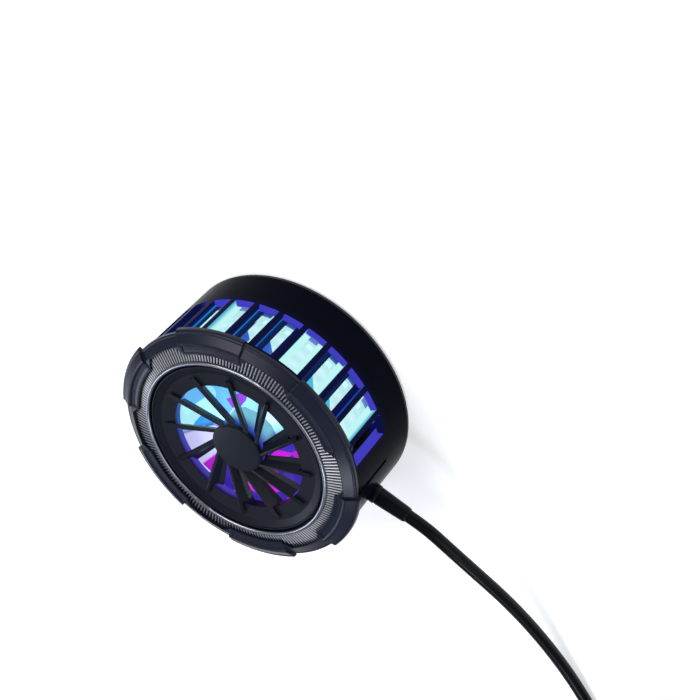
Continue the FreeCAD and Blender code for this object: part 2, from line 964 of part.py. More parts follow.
def hub_cap():
    radius = hub_radius - 0.2
    edge = hub_top + cap_thickness - cap_crown
    return turned([
        (0, hub_top),
        (radius, hub_top),
        (radius, edge),
        (0.5, hub_top + cap_thickness, radius * 0.5, edge + cap_crown * 0.78),
        (0, hub_top + cap_thickness),
    ])


def fan_shaft():
    return cylinder(shaft_radius, motor_plate_top + part_gap, hub_top)


def bearing_sleeve():
    inner = shaft_radius + bearing_gap
    return ring(sleeve_radius, inner, motor_plate_top, tube_top)


def motor_base():
    """Round plate with the bearing tube standing on it."""
    plate = cylinder(motor_plate_radius, heatsink_top, motor_plate_top)
    tube = ring(tube_radius, sleeve_radius + fit_gap, motor_plate_top, tube_top)
    holes = [
        cylinder(motor_screw_shank_radius, heatsink_top, motor_plate_top, place.x, place.y)
        for place in motor_screw_places()
    ]
    return fused([plate, tube]).cut(holes)


def motor_screw_places():
    step = 360.0 / motor_screw_count
    return [at(motor_screw_circle, 30 + index * step, 0) for index in range(motor_screw_count)]


def motor_screws():
    depth = 2.0
    return Part.makeCompound([
        screw(place, motor_plate_top, motor_screw_head_radius, motor_screw_head_height,
              motor_screw_shank_radius, heatsink_top - depth)
        for place in motor_screw_places()
    ])


def motor_board():
    return ring(stator_core_radius, tube_radius + fit_gap, motor_plate_top,
                motor_plate_top + motor_board_thickness)


def stator_core():
    """Laminated ring with four arms that end in curved shoes."""
    bore = tube_radius + fit_gap
    shapes = [ring(bore + stator_ring_wall, bore, stator_bottom, stator_top)]
    shoe_inner = stator_core_radius - stator_shoe_thickness
    for index in range(stator_poles):
        arm = block(bore + 0.2, stator_core_radius - 0.15, -stator_arm_width / 2, stator_arm_width / 2,
                    stator_bottom, stator_top)
        shoe = ring(stator_core_radius, shoe_inner, stator_bottom, stator_top,
                    stator_shoe_sweep, -stator_shoe_sweep / 2)
        for piece in (arm, shoe):
            piece.rotate(origin, up, index * 360.0 / stator_poles)
            shapes.append(piece)
    return fused(shapes)


def stator_windings():
    """One coil of wire round each arm, between the ring and the shoe."""
    inner = tube_radius + fit_gap + stator_ring_wall + fit_gap
    outer = stator_core_radius - stator_shoe_thickness - fit_gap
    half = stator_arm_width / 2
    bottom = stator_bottom - winding_overhang
    top = stator_top + winding_overhang
    coil = block(inner, outer, -half - winding_wall, half + winding_wall, bottom, top)
    coil = coil.common(ring(outer, inner, bottom, top))
    coil = coil.cut(block(0, outer + 1, -half, half, stator_bottom, stator_top))
    return Part.makeCompound(turned_copies(coil, stator_poles))


def rotor_magnet():
    outer = hub_radius - hub_wall
    inner = stator_core_radius + rotor_magnet_gap
    bottom = stator_bottom - (rotor_magnet_height - stator_core_height) / 2
    return ring(outer, inner, bottom, bottom + rotor_magnet_height)


def prism_disc():
    """Faceted clear dish behind the blades, on the motor plate."""
    step = 360.0 / prism_sides
    inner_top = prism_rim_top - prism_dish
    floor = motor_plate_top
    rim_floor = motor_plate_top + prism_underside_rise
    inner, middle, outer, low, high = [], [], [], [], []
    for index in range(prism_sides):
        angle = index * step
        wobble = prism_facet_step if index % 2 else 0.0
        inner.append(at(prism_inner_radius, angle, inner_top))
        middle.append(at(prism_middle_radius, angle + step / 2, inner_top - prism_dish - wobble))
        outer.append(at(prism_outer_radius, angle, prism_rim_top))
        low.append(at(prism_inner_radius, angle, floor))
        high.append(at(prism_outer_radius, angle, rim_floor))
    faces = []
    for index in range(prism_sides):
        after = (index + 1) % prism_sides
        faces.append(polygon_face([inner[index], middle[index], inner[after]]))
        faces.append(polygon_face([inner[after], middle[index], middle[after]]))
        faces.append(polygon_face([outer[index], outer[after], middle[index]]))
        faces.append(polygon_face([outer[after], middle[after], middle[index]]))
        faces.append(polygon_face([outer[index], high[index], high[after], outer[after]]))
        faces.append(polygon_face([low[index], low[after], high[after], high[index]]))
        faces.append(polygon_face([inner[index], inner[after], low[after], low[index]]))
    solid = Part.Solid(Part.makeShell(faces))
    if solid.Volume < 0:
        solid.reverse()
    return solid


# Lead, strain relief and plug


def along_x(outline, start):
    """Solid turned about the X axis from (radius, distance) corners, moved to its start point."""
    solid = turned([(radius, distance) for radius, distance in outline])
    solid.rotate(origin, Vector(0, 1, 0), 90)
    solid.translate(start)
    return solid


def cable_gland():
    """Flanged bush in the drum wall, flush with the outside."""
    flange_start = -drum_wall - gland_flange_thickness
    return along_x([
        (cable_radius, flange_start),
        (gland_flange_radius, flange_start),
        (gland_flange_radius, -drum_wall - gland_seat_gap),
        (gland_body_radius, -drum_wall - gland_seat_gap),
        (gland_body_radius, 0),
        (cable_radius, 0),
    ], Vector(drum_radius, 0, cable_height))


def gland_cable():
    """The end of the lead that the gland grips."""
    length = drum_wall + gland_flange_thickness
    start = Vector(drum_radius - length, 0, cable_height)
    return Part.makeCylinder(cable_radius, length, start, Vector(1, 0, 0))


def strain_relief():
    """Tapered sleeve with a plain collar at its root."""
    collar = 1.2
    return along_x([
        (0, 0),
        (relief_root_radius, 0),
        (relief_root_radius, collar),
        (relief_tip_radius, relief_length - 0.15),
        (relief_tip_radius - 0.15, relief_length),
        (0, relief_length),
    ], Vector(drum_radius, 0, cable_height))


def power_wires():
    """Two wires from the gland down to the main board."""
    start_x = drum_radius - drum_wall - gland_flange_thickness
    bend = 2.4
    shapes = []
    for side in (-1, 1):
        y = side * wire_spacing / 2
        start = Vector(start_x, y, cable_height)
        turn = Vector(start_x - 0.5, y, cable_height)
        low = Vector(turn.x - bend, y, cable_height - bend)
        corner = bend * (1 - math.sqrt(0.5))
        middle = Vector(low.x + corner, y, cable_height - corner)
        end = Vector(low.x, y, board_top)
        path = Part.Wire([
            Part.LineSegment(start, turn).toShape(),
            Part.Arc(turn, middle, low).toShape(),
            Part.LineSegment(low, end).toShape(),
        ])
        shapes.append(tube(path, start, Vector(-1, 0, 0), wire_radius))
    return Part.makeCompound(shapes)


def tube(path, start, heading, radius):
    circle = Part.Wire([Part.Circle(start, heading, radius).toShape()])
    return path.makePipeShell([circle], True, False)


def rounded_route(name, points):
    """Straight runs joined by tangent arcs, each as large as its two runs allow."""
    edges = []
    begin = points[0]
    radii = []
    for index in range(1, len(points) - 1):
        corner = points[index]
        back = points[index - 1] - corner
        ahead = points[index + 1] - corner
        trim = 0.45 * min(back.Length, ahead.Length)
        back.normalize()
        ahead.normalize()
        half_turn = (math.pi - back.getAngle(ahead)) / 2
        radius = trim / math.tan(half_turn)
        radii.append(round(radius, 1))
        bisector = back + ahead
        bisector.normalize()
        first = corner + back * trim
        last = corner + ahead * trim
        middle = corner + bisector * (radius / math.cos(half_turn) - radius)
        edges.append(Part.LineSegment(begin, first).toShape())
        edges.append(Part.Arc(first, middle, last).toShape())
        begin = last
    edges.append(Part.LineSegment(begin, points[-1]).toShape())
    print(name, "bend radii", radii)
    return Part.Wire(edges)


def checked_tube(name, path, start, heading, radius):
    solid = tube(path, start, heading, radius)
    expected = math.pi * radius ** 2 * path.Length
    print(name, "length", round(path.Length, 1), "volume share", round(solid.Volume / expected, 4))
    return solid


def coil_centreline(turns):
    """Point on the coil after so many turns: in on the floor, up a layer, and out on top."""
    if turns <= coil_layer_turns:
        radius = coil_wind_radius - coil_wind_pitch * turns
        height = coil_floor
    elif turns <= coil_layer_turns + 0.5:
        share = (turns - coil_layer_turns) * 2
        inner = coil_wind_radius - coil_wind_pitch * coil_layer_turns
        radius = inner - coil_wind_pitch * 0.5 * (share - share * share)
        height = coil_floor + coil_layer_pitch * (3 * share ** 2 - 2 * share ** 3)
    else:
        radius = coil_wind_radius - coil_wind_pitch * (coil_total_turns - turns)
        height = coil_floor + coil_layer_pitch
    place = at(radius, coil_start_angle + 360.0 * turns, height)
    return place + Vector(coil_centre_x, coil_centre_y, 0)


def coil_heading(turns):
    step = 1e-4
    after = coil_centreline(min(turns + step, coil_total_turns))
    heading = after - coil_centreline(max(turns - step, 0))
    heading.normalize()
    return heading


def arc_with_tangent(start, heading, end):
    """Arc from start to end that leaves along the heading."""
    chord = end - start
    angle = heading.getAngle(chord)
    if angle < 1e-6:
        return Part.LineSegment(start, end).toShape()
    side = heading - chord * (heading.dot(chord) / chord.dot(chord))
    side.normalize()
    middle = start + chord * 0.5 + side * (chord.Length / 2 * math.tan(angle / 2))
    return Part.Arc(start, middle, end).toShape()


def biarc(start, start_heading, end, end_heading):
    """Two arcs that meet in a common tangent half way."""
    chord = end - start
    total = start_heading + end_heading
    spread = 2 * (1 - start_heading.dot(end_heading))
    reach = chord.dot(total)
    length = (-reach + math.sqrt(reach ** 2 + spread * chord.dot(chord))) / spread
    first = start + start_heading * length
    last = end - end_heading * length
    joint = (first + last) * 0.5
    heading = last - first
    heading.normalize()
    return [arc_with_tangent(start, start_heading, joint), arc_with_tangent(joint, heading, end)]


def coil_path():
    steps = round(coil_total_turns * coil_stations_per_turn)
    stations = [coil_total_turns * index / steps for index in range(steps + 1)]
    straight = 2 * cable_radius
    start = coil_centreline(0)
    heading = coil_heading(0)
    edges = [Part.LineSegment(start - heading * straight, start).toShape()]
    for before, after in zip(stations, stations[1:]):
        edges += biarc(coil_centreline(before), coil_heading(before),
                       coil_centreline(after), coil_heading(after))
    end = coil_centreline(coil_total_turns)
    heading = coil_heading(coil_total_turns)
    edges.append(Part.LineSegment(end, end + heading * straight).toShape())
    return Part.Wire(edges)


def print_coil_gap(path):
    """Least distance between turns, measured on points along the path."""
    spacing = 1.0
    points = path.discretize(Distance=spacing)
    apart = int(math.pi * coil_wind_radius / 2 / spacing)
    least = min(
        (points[i] - points[j]).Length
        for i in range(0, len(points), 2)
        for j in range(i + apart, len(points))
    )
    print("coil least gap to itself", round(least - 2 * cable_radius, 2))


def cable_coil():
    path = coil_path()
    print_coil_gap(path)
    start, heading = coil_entry()
    return checked_tube("coil", path, start, heading, cable_radius)


def coil_entry():
    heading = coil_heading(0)
    return coil_centreline(0) - heading * (2 * cable_radius), heading


def coil_exit():
    heading = coil_heading(coil_total_turns)
    return coil_centreline(coil_total_turns) + heading * (2 * cable_radius), heading


def cable_lead():
    """Free stretch from the strain relief down to the floor and on to the coil."""
    start = Vector(strain_relief_end, 0, cable_height)
    end, heading = coil_entry()
    points = [start, start + Vector(lead_first_run, 0, 0)]
    points += [Vector(strain_relief_end + x, y, z) for x, y, z in lead_points]
    points += [end - heading * lead_last_run, end]
    path = rounded_route("lead", points)
    return checked_tube("lead", path, start, Vector(1, 0, 0), cable_radius)


def plug_start():
    """Where the plug's own strain relief begins, at the plug's middle height."""
    start, heading = coil_exit()
    place = start + heading * tail_length - heading.cross(up) * tail_shift
    return Vector(place.x, place.y, plug_height / 2)


def cable_tail():
    """Short free stretch from the coil down to the plug."""
    start, heading = coil_exit()
    end = plug_start()
    points = [start, start + heading * tail_first_run, end - heading * tail_last_run, end]
    path = rounded_route("tail", points)
    return checked_tube("tail", path, start, heading, cable_radius)


def coil_tie():
    """Strap round the bundle of turns."""
    inner = coil_wind_radius - coil_wind_pitch * (coil_layer_turns + 0.13) - cable_radius
    outer = coil_wind_radius + cable_radius
    bottom = coil_floor - cable_radius - coil_lift
    top = coil_floor + coil_layer_pitch + cable_radius + coil_lift
    half = tie_width / 2
    x0, x1 = inner - tie_clearance, outer + part_gap
    thick = tie_thickness
    corner = 1.2
    band = block(x0 - thick, x1 + thick, -half, half, bottom - thick, top + thick)
    band = band.makeFillet(corner + thick, [edge for edge in band.Edges if along_y(edge)])
    hole = block(x0, x1, -half - 1, half + 1, bottom, top)
    band = band.cut(hole)
    band.rotate(origin, up, tie_angle)
    band.translate(Vector(coil_centre_x, coil_centre_y, 0))
    return band


def along_y(edge):
    first, last = edge.Vertexes[0].Point, edge.Vertexes[-1].Point
    return abs(first.x - last.x) < 1e-6 and abs(first.z - last.z) < 1e-6


def placed_on_plug(shape):
    """Move a plug piece, drawn along +X from its relief's root, to where the plug lies."""
    heading = coil_exit()[1]
    shape.rotate(origin, up, math.degrees(math.atan2(heading.y, heading.x)))
    shape.translate(plug_start())
    return shape


def plug_relief():
    sleeve = turned([
        (0, 0),
        (cable_radius + 0.15, 0),
        (plug_relief_radius, 1.0),
        (plug_relief_radius + 0.4, plug_relief_length),
        (0, plug_relief_length),
    ])
    sleeve.rotate(origin, Vector(0, 1, 0), 90)
    return placed_on_plug(sleeve)


def plug_grip():
    """Moulded grip with rounded long edges."""
    half = plug_width / 2
    tall = plug_height / 2
    start = plug_relief_length
    grip = block(start, start + plug_length, -half, half, -tall, tall)
    grip = grip.makeFillet(plug_corner, [edge for edge in grip.Edges if along_x_edge(edge)])
    ends = [edge for edge in grip.Edges if edge.BoundBox.XLength < 1e-6]
    grip = grip.makeFillet(0.5, ends)
    return placed_on_plug(grip)


def along_x_edge(edge):
    first, last = edge.Vertexes[0].Point, edge.Vertexes[-1].Point
    return abs(first.y - last.y) < 1e-6 and abs(first.z - last.z) < 1e-6


def rounded_bar(x0, x1, width, height):
    """Bar along X whose ends are half round in section."""
    radius = height / 2
    straight = width / 2 - radius
    top = Vector(x0, straight, radius)
    edges = [
        Part.LineSegment(Vector(x0, -straight, radius), top).toShape(),
        Part.Arc(top, Vector(x0, width / 2, 0), Vector(x0, straight, -radius)).toShape(),
        Part.LineSegment(Vector(x0, straight, -radius), Vector(x0, -straight, -radius)).toShape(),
        Part.Arc(Vector(x0, -straight, -radius), Vector(x0, -width / 2, 0),
                 Vector(x0, -straight, radius)).toShape(),
    ]
    return Part.Face(Part.Wire(edges)).extrude(Vector(x1 - x0, 0, 0))


def plug_shell():
    start = plug_relief_length + plug_length
    outside = rounded_bar(start, start + shell_length, shell_width, shell_height)
    hollow = rounded_bar(start, start + shell_length + 1,
                         shell_width - 2 * shell_wall, shell_height - 2 * shell_wall)
    return placed_on_plug(outside.cut(hollow))


def plug_insert():
    """Contact carrier that lines the shell, with the slot that takes the socket's tongue."""
    start = plug_relief_length + plug_length
    end = start + shell_length - insert_recess
    carrier = rounded_bar(start, end, shell_width - 2 * shell_wall, shell_height - 2 * shell_wall)
    slot = block(end - slot_depth, end + 1, -slot_width / 2, slot_width / 2,
                 -slot_height / 2, slot_height / 2)
    return placed_on_plug(carrier.cut(slot))


pieces = {
    "contact_pad": contact_pad,
    "rear_cover": rear_cover,
    "charging_coil": charging_coil,
    "ferrite_sheet": ferrite_sheet,
    "magnet_ring": magnet_ring,
    "coil_carrier": coil_carrier,
    "cold_plate": cold_plate,
    "thermoelectric_module": thermoelectric_module,
    "insulation_frame": insulation_frame,
    "thermal_pad": thermal_pad,
    "heatsink": heatsink,
    "heatsink_screws": heatsink_screws,
    "main_board": main_board,
    "board_components": board_components,
    "light_board": light_board,
    "light_diodes": light_diodes,
    "light_ring": light_ring,
    "prism_disc": prism_disc,
    "drum_housing": drum_housing,
    "fan_shroud": fan_shroud,
    "rim_ring": rim_ring,
    "knurled_ring": knurled_ring,
    "front_bezel": front_bezel,
    "fan_rotor": fan_rotor,
    "hub_cap": hub_cap,
    "fan_shaft": fan_shaft,
    "rotor_magnet": rotor_magnet,
    "bearing_sleeve": bearing_sleeve,
    "motor_base": motor_base,
    "motor_screws": motor_screws,
    "motor_board": motor_board,
    "stator_core": stator_core,
    "stator_windings": stator_windings,
    "cable_gland": cable_gland,
    "gland_cable": gland_cable,
    "power_wires": power_wires,
    "strain_relief": strain_relief,
    "cable_lead": cable_lead,
    "cable_coil": cable_coil,
    "cable_tail": cable_tail,
    "coil_tie": coil_tie,
    "plug_relief": plug_relief,
    "plug_grip": plug_grip,
    "plug_shell": plug_shell,
    "plug_insert": plug_insert,
}

for name, make in pieces.items():
    shape = make()
    print(name, len(shape.Solids), "solids", round(shape.Volume, 1), "mm3", shape.isValid())
    save(name, shape)
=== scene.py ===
import math

import bpy
from mathutils import Matrix, Vector


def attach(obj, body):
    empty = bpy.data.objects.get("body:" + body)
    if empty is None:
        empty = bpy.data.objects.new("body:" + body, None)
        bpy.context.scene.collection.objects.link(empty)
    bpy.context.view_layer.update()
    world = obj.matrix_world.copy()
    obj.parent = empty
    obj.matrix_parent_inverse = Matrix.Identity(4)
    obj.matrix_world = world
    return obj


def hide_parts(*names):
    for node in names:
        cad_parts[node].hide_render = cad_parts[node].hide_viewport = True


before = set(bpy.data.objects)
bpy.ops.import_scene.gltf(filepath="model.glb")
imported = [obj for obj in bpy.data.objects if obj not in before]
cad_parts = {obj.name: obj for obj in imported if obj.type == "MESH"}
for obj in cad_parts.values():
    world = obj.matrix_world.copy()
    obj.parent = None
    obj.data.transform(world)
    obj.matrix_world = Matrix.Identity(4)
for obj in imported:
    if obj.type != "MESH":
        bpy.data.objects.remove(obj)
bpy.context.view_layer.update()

# Camera. It looks down on the fan side from beyond the drum, rolled over so that
# the lead leaves the picture at the bottom right.

camera_place = Vector((0.05511, 0.23983, 0.21019))
camera_forward = Vector((-0.15312, -0.71681, -0.68025)).normalized()
camera_right = Vector((0.82142, 0.29037, -0.49087)).normalized()
camera_up = camera_right.cross(camera_forward)

bpy.ops.object.select_all(action="DESELECT")
bpy.ops.object.camera_add(location=camera_place)
camera = bpy.context.object
camera.name = "camera"
turn = Matrix((camera_right, camera_up, -camera_forward)).transposed().to_4x4()
camera.matrix_world = Matrix.Translation(camera_place) @ turn
camera.data.lens = 76.0
camera.data.sensor_width = 36.0
camera.data.clip_start = 0.01
camera.data.clip_end = 10.0
bpy.context.scene.camera = camera

# Lead. A round cable in a smooth black jacket, 2.8 mm thick. It leaves the strain
# relief, falls to the table and runs to the coil of its put-away length, and its
# short tail ends in the plug.

MM = 0.001


class Wire:
    """The end of a link in a material, which takes part in sums."""

    def __init__(self, finish, socket):
        self.finish = finish
        self.socket = socket

    def __add__(self, other):
        return self.finish.maths("ADD", self, other)

    def __radd__(self, other):
        return self.finish.maths("ADD", other, self)

    def __sub__(self, other):
        return self.finish.maths("SUBTRACT", self, other)

    def __rsub__(self, other):
        return self.finish.maths("SUBTRACT", other, self)

    def __mul__(self, other):
        return self.finish.maths("MULTIPLY", self, other)

    def __rmul__(self, other):
        return self.finish.maths("MULTIPLY", other, self)

    def __truediv__(self, other):
        return self.finish.maths("DIVIDE", self, other)

    def __pow__(self, other):
        return self.finish.maths("POWER", self, other)

    def __mod__(self, other):
        return self.finish.maths("FLOORED_MODULO", self, other)

    def __gt__(self, other):
        return self.finish.maths("GREATER_THAN", self, other)

    def __lt__(self, other):
        return self.finish.maths("LESS_THAN", self, other)


class Finish:
    """One material and the nodes that make it."""

    def __init__(self, name):
        self.material = bpy.data.materials.new(name)
        self.material.use_nodes = True
        self.tree = self.material.node_tree
        self.shader = self.tree.nodes["Principled BSDF"]
        self.place = Wire(self, self.node("TexCoord").outputs["Object"])

    def node(self, kind, sockets=None, stops=None, **settings):
        made = self.tree.nodes.new("ShaderNode" + kind)
        for name, value in settings.items():
            setattr(made, name, value)
        if stops:
            while len(made.color_ramp.elements) < len(stops):
                made.color_ramp.elements.new(1.0)
            for element, (position, colour) in zip(made.color_ramp.elements, stops):
                element.position = position
                element.color = (*colour, 1.0)
        for name, value in (sockets or {}).items():
            self.plug(made.inputs[name], value)
        return made

    def plug(self, socket, value):
        """Links a wire to a socket, or sets its value."""
        if isinstance(value, Wire):
            self.tree.links.new(value.socket, socket)
        elif isinstance(value, (tuple, list)) and len(socket.default_value) == 4:
            socket.default_value = (*value, 1.0)
        else:
            socket.default_value = value

    def put(self, **sockets):
        """Sets or links the shader's own sockets, named with _ for a space."""
        for name, value in sockets.items():
            self.plug(self.shader.inputs[name.replace("_", " ")], value)

    def maths(self, operation, first, second=0.0):
        made = self.node("Math", {0: first, 1: second}, operation=operation)
        return Wire(self, made.outputs[0])

    def axis(self, name, place=None):
        """Place along X, Y or Z in millimetres, on the piece or on a turned pattern."""
        split = self.node("SeparateXYZ", {0: place or self.place})
        return Wire(self, split.outputs[name]) / MM

    def noise(self, size, detail=3.0, roughness=0.5):
        """Cloudy pattern from 0 to 1 with patches of that size in millimetres."""
        made = self.node("TexNoise", {"Vector": self.place, "Scale": 1 / (size * MM),
                                      "Detail": detail, "Roughness": roughness})
        return Wire(self, made.outputs["Fac"])

    def fade(self, value, low, high):
        """Rises smoothly from 0 at low to 1 at high, or falls where low is above high."""
        ends = {"Value": value, "From Min": min(low, high), "From Max": max(low, high),
                "To Min": 0.0 if low < high else 1.0, "To Max": 1.0 if low < high else 0.0}
        made = self.node("MapRange", ends, interpolation_type="SMOOTHSTEP")
        return Wire(self, made.outputs["Result"])

    def mix(self, share, first, second):
        """The first colour where share is 0 and the second where it is 1."""
        made = self.node("Mix", {0: share, 6: first, 7: second}, data_type="RGBA")
        return Wire(self, made.outputs[2])

    def ramp(self, value, stops, interpolation="LINEAR"):
        made = self.node("ValToRGB", {"Fac": value}, stops)
        made.color_ramp.interpolation = interpolation
        return Wire(self, made.outputs["Color"])

    def bump(self, height, depth, edge=0.0):
        """Relief from a height of 0 to 1 that stands for depth, on softly rounded edges."""
        made = self.node("Bump", {"Height": height, "Distance": depth * MM})
        if edge:
            rounded = self.node("Bevel", {"Radius": edge * MM}, samples=6)
            self.plug(made.inputs["Normal"], Wire(self, rounded.outputs["Normal"]))
        return Wire(self, made.outputs["Normal"])


def shades(colour, spread):
    """A darker and a lighter neighbour of a colour."""
    return [c * (1 - spread) for c in colour], [min(1.0, c * (1 + spread)) for c in colour]


def moulded(name, colour, roughness, grain=0.25, depth=0.004, gloss=0.3, edge=0.1):
    """Moulded plastic or rubber: faintly cloudy, with the fine grain of its mould."""
    finish = Finish(name)
    darker, lighter = shades(colour, 0.15)
    cloud = finish.noise(9.0)
    finish.put(Base_Color=finish.mix(cloud, darker, lighter),
               Roughness=cloud * 0.1 + (roughness - 0.05),
               Normal=finish.bump(finish.noise(grain, 2.0), depth, edge),
               Specular_IOR_Level=gloss)
    return finish


def ring_point(radius, degrees, height):
    angle = math.radians(degrees)
    return Vector((radius * math.cos(angle), radius * math.sin(angle), height))


cable_radius = 1.4
drum_radius = 28.0
exit_height = 13.0
relief_length = 8.9
relief_end = drum_radius + relief_length
lead_points = [
    (0, 0, exit_height), (4.5, 0, exit_height), (10.1, -1.6, 12.7), (17.9, -5.2, 11.1),
    (26.5, -10.5, 8.2), (35.9, -17.5, 5.1), (46.1, -25.7, 2.5), (55.9, -33.5, 1.5),
]
coil_centre = Vector((relief_end + 90.6, -30.2, 0))
coil_radius = 23.5
coil_pitch = 3.3
coil_floor = 2.1
coil_start = -127.0
coil_turns = 8 - coil_start / 360.0
climb_turns = 0.5
layer_turns = (coil_turns - climb_turns) / 2
points_per_turn = 16
entry_run = 8.0
exit_run = 5.5
tail_length = 19.5
tail_shift = 0.6
plug_run = 6.0
plug_middle = 3.1


def coil_point(turns, swell=1.0):
    """Point on the coil: in on the floor, up one layer, and out again on top."""
    height = coil_floor
    if turns <= layer_turns:
        radius = coil_radius - coil_pitch * turns
    elif turns <= layer_turns + climb_turns:
        share = (turns - layer_turns) / climb_turns
        dip = climb_turns * (share - share * share)
        radius = coil_radius - coil_pitch * (layer_turns + dip)
        height += coil_pitch * (3 * share ** 2 - 2 * share ** 3)
    else:
        radius = coil_radius - coil_pitch * (coil_turns - turns)
        height += coil_pitch
    return coil_centre + ring_point(radius * swell, coil_start + 360.0 * turns, height)


def coil_heading(turns):
    """Direction in which the coil runs at that turn."""
    step = 0.0001
    ahead = coil_point(min(turns + step, coil_turns))
    return (ahead - coil_point(max(turns - step, 0))).normalized()


entry_heading = coil_heading(0)
coil_entry = coil_point(0) - entry_heading * 2 * cable_radius
plug_heading = coil_heading(coil_turns)
coil_exit = coil_point(coil_turns) + plug_heading * 2 * cable_radius
plug_side = plug_heading.cross(Vector((0, 0, 1)))
plug_root = coil_exit + plug_heading * tail_length - plug_side * tail_shift
plug_root.z = plug_middle

route = [Vector((relief_end + x, y, z)) for x, y, z in lead_points]
route += [coil_entry - entry_heading * entry_run, coil_entry]
# The line runs inside its control points, so those of the turns stand further out.
steps = round(coil_turns * points_per_turn)
swell = 1 / math.cos(math.pi / points_per_turn) ** 0.5
route += [coil_point(coil_turns * step / steps, swell) for step in range(steps + 1)]
route += [coil_exit, coil_exit + plug_heading * exit_run, plug_root - plug_heading * plug_run,
          plug_root]

lead_curve = bpy.data.curves.new("lead", "CURVE")
lead_curve.dimensions = "3D"
lead_curve.resolution_u = 6
lead_curve.bevel_depth = cable_radius * MM
lead_curve.bevel_resolution = 6
lead_curve.use_fill_caps = True
spline = lead_curve.splines.new("NURBS")
spline.points.add(len(route) - 1)
for point, place in zip(spline.points, route):
    point.co = (*(place * MM), 1.0)
spline.order_u = 3
spline.use_endpoint_u = True
lead = bpy.data.objects.new("lead", lead_curve)
bpy.context.scene.collection.objects.link(lead)

jacket = moulded("cable_jacket", (0.002, 0.002, 0.003), 0.3, grain=0.6, depth=0.003, gloss=0.11,
                 edge=0)
lead_curve.materials.append(jacket.material)
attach(lead, "charger")
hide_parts("cable_lead", "cable_coil", "cable_tail")

# Strain relief. A soft black sleeve moulded over the lead, with a collar where it
# meets the drum and a tapered nose; the gland behind it grips the lead in the wall.


def dress(finish, *names):
    """Gives solids of the frame their finish."""
    for name in names:
        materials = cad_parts[name].data.materials
        materials.clear()
        materials.append(finish.material)


def turned_piece(name, profile, place, heading, finish, sides=64):
    """A round piece along its heading, drawn out of a disc by (distance, radius) steps."""
    bpy.ops.object.select_all(action="DESELECT")
    bpy.ops.mesh.primitive_circle_add(vertices=sides, radius=profile[0][1] * MM,
                                      fill_type="NGON", location=(0, 0, 0))
    piece = bpy.context.object
    piece.name = name
    bpy.ops.object.mode_set(mode="EDIT")
    for (start, before), (end, after) in zip(profile, profile[1:]):
        step = {"value": (0, 0, (end - start) * MM)}
        bpy.ops.mesh.extrude_region_move(TRANSFORM_OT_translate=step)
        bpy.ops.transform.resize(value=(after / before, after / before, 1))
    bpy.ops.mesh.select_all(action="SELECT")
    bpy.ops.mesh.normals_make_consistent(inside=False)
    bpy.ops.object.mode_set(mode="OBJECT")
    piece.rotation_euler = heading.to_track_quat("Z", "Y").to_euler()
    piece.location = place * MM
    bpy.ops.object.transform_apply(location=True, rotation=True, scale=True)
    bpy.ops.object.shade_smooth_by_angle(angle=math.radians(35))
    piece.data.materials.append(finish.material)
    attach(piece, "charger")
    return piece


relief_profile = [
    (0.0, 1.95), (0.12, 2.07), (0.3, 2.1), (0.95, 2.1), (1.1, 2.06), (1.18, 1.95), (1.3, 1.9),
    (1.5, 1.93), (1.8, 1.95), (3.5, 1.89), (5.5, 1.8), (7.3, 1.73), (8.1, 1.7), (8.5, 1.64),
    (8.75, 1.54), (relief_length, cable_radius),
]
relief_rubber = moulded("relief_rubber", (0.002, 0.002, 0.003), 0.34, gloss=0.11)
sleeve = turned_piece("relief_sleeve", relief_profile, Vector((drum_radius, 0, exit_height)),
                      Vector((1, 0, 0)), relief_rubber)
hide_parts("strain_relief")
dress(relief_rubber, "cable_gland", "gland_cable")

# Plug relief. The short sleeve of the same rubber at the plug, moulded over the
# lead with four grooves that let it bend.

groove_count = 4
groove_pitch = 1.1
crest_growth = 0.1
one_groove = [(0.0, 0.0), (0.5, 0.03), (0.6, 0.0), (0.68, -0.22), (0.95, -0.2), (1.03, 0.02)]
ribs_profile = [(0.0, 1.45), (0.15, 1.6), (0.5, 1.75), (0.8, 1.9)]
for groove in range(groove_count):
    start = 0.9 + groove * groove_pitch
    crest = 1.95 + groove * crest_growth
    ribs_profile += [(start + along, crest + rise) for along, rise in one_groove]
ribs_profile += [(5.35, 2.36), (6.0, 2.4)]
ribbed = turned_piece("plug_relief_ribs", ribs_profile, plug_root, plug_heading, relief_rubber)
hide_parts("plug_relief")

# Plug. A satin black grip moulded round a drawn steel shell, which holds a black
# contact carrier.


def metal(name, colour, roughness):
    """Bare or plated metal with a slightly uneven polish."""
    finish = Finish(name)
    darker, lighter = shades(colour, 0.08)
    cloud = finish.noise(0.6, 4.0)
    finish.put(Base_Color=finish.mix(cloud, darker, lighter), Metallic=1.0,
               Roughness=cloud * 0.1 + (roughness - 0.05), Normal=finish.bump(cloud, 0.002))
    return finish


dress(moulded("plug_black", (0.018, 0.018, 0.022), 0.42), "plug_grip", "plug_insert")
dress(metal("plug_steel", (0.5, 0.5, 0.53), 0.25), "plug_shell")

# Coil tie. A woven strap round the put-away turns, closed by its free end, which lies
# over it on top.

strap_width = 6.0
strap_thickness = 0.6
strap_corner = 1.8
end_width = 5.6
end_thickness = 0.33
end_overlap = 3.0
end_rise = 0.35
slack_inside = 0.5
slack_outside = 0.05
slack_above = 0.1
coil_dip = 0.13
tie_inner = (coil_radius - coil_pitch * (layer_turns + coil_dip) - cable_radius - slack_inside
             - strap_thickness)
tie_outer = coil_radius + cable_radius + slack_outside + strap_thickness
tie_bottom = 0.0
tie_top = coil_floor + coil_pitch + cable_radius + slack_above + strap_thickness
tie_angle = 150.0
warp_pitch = 0.55
weft_pitch = 0.5


def wave(finish, place, pitch):
    """Rises and falls between 1 and -1, once in each pitch."""
    return finish.maths("SINE", place * (2 * math.pi / pitch))


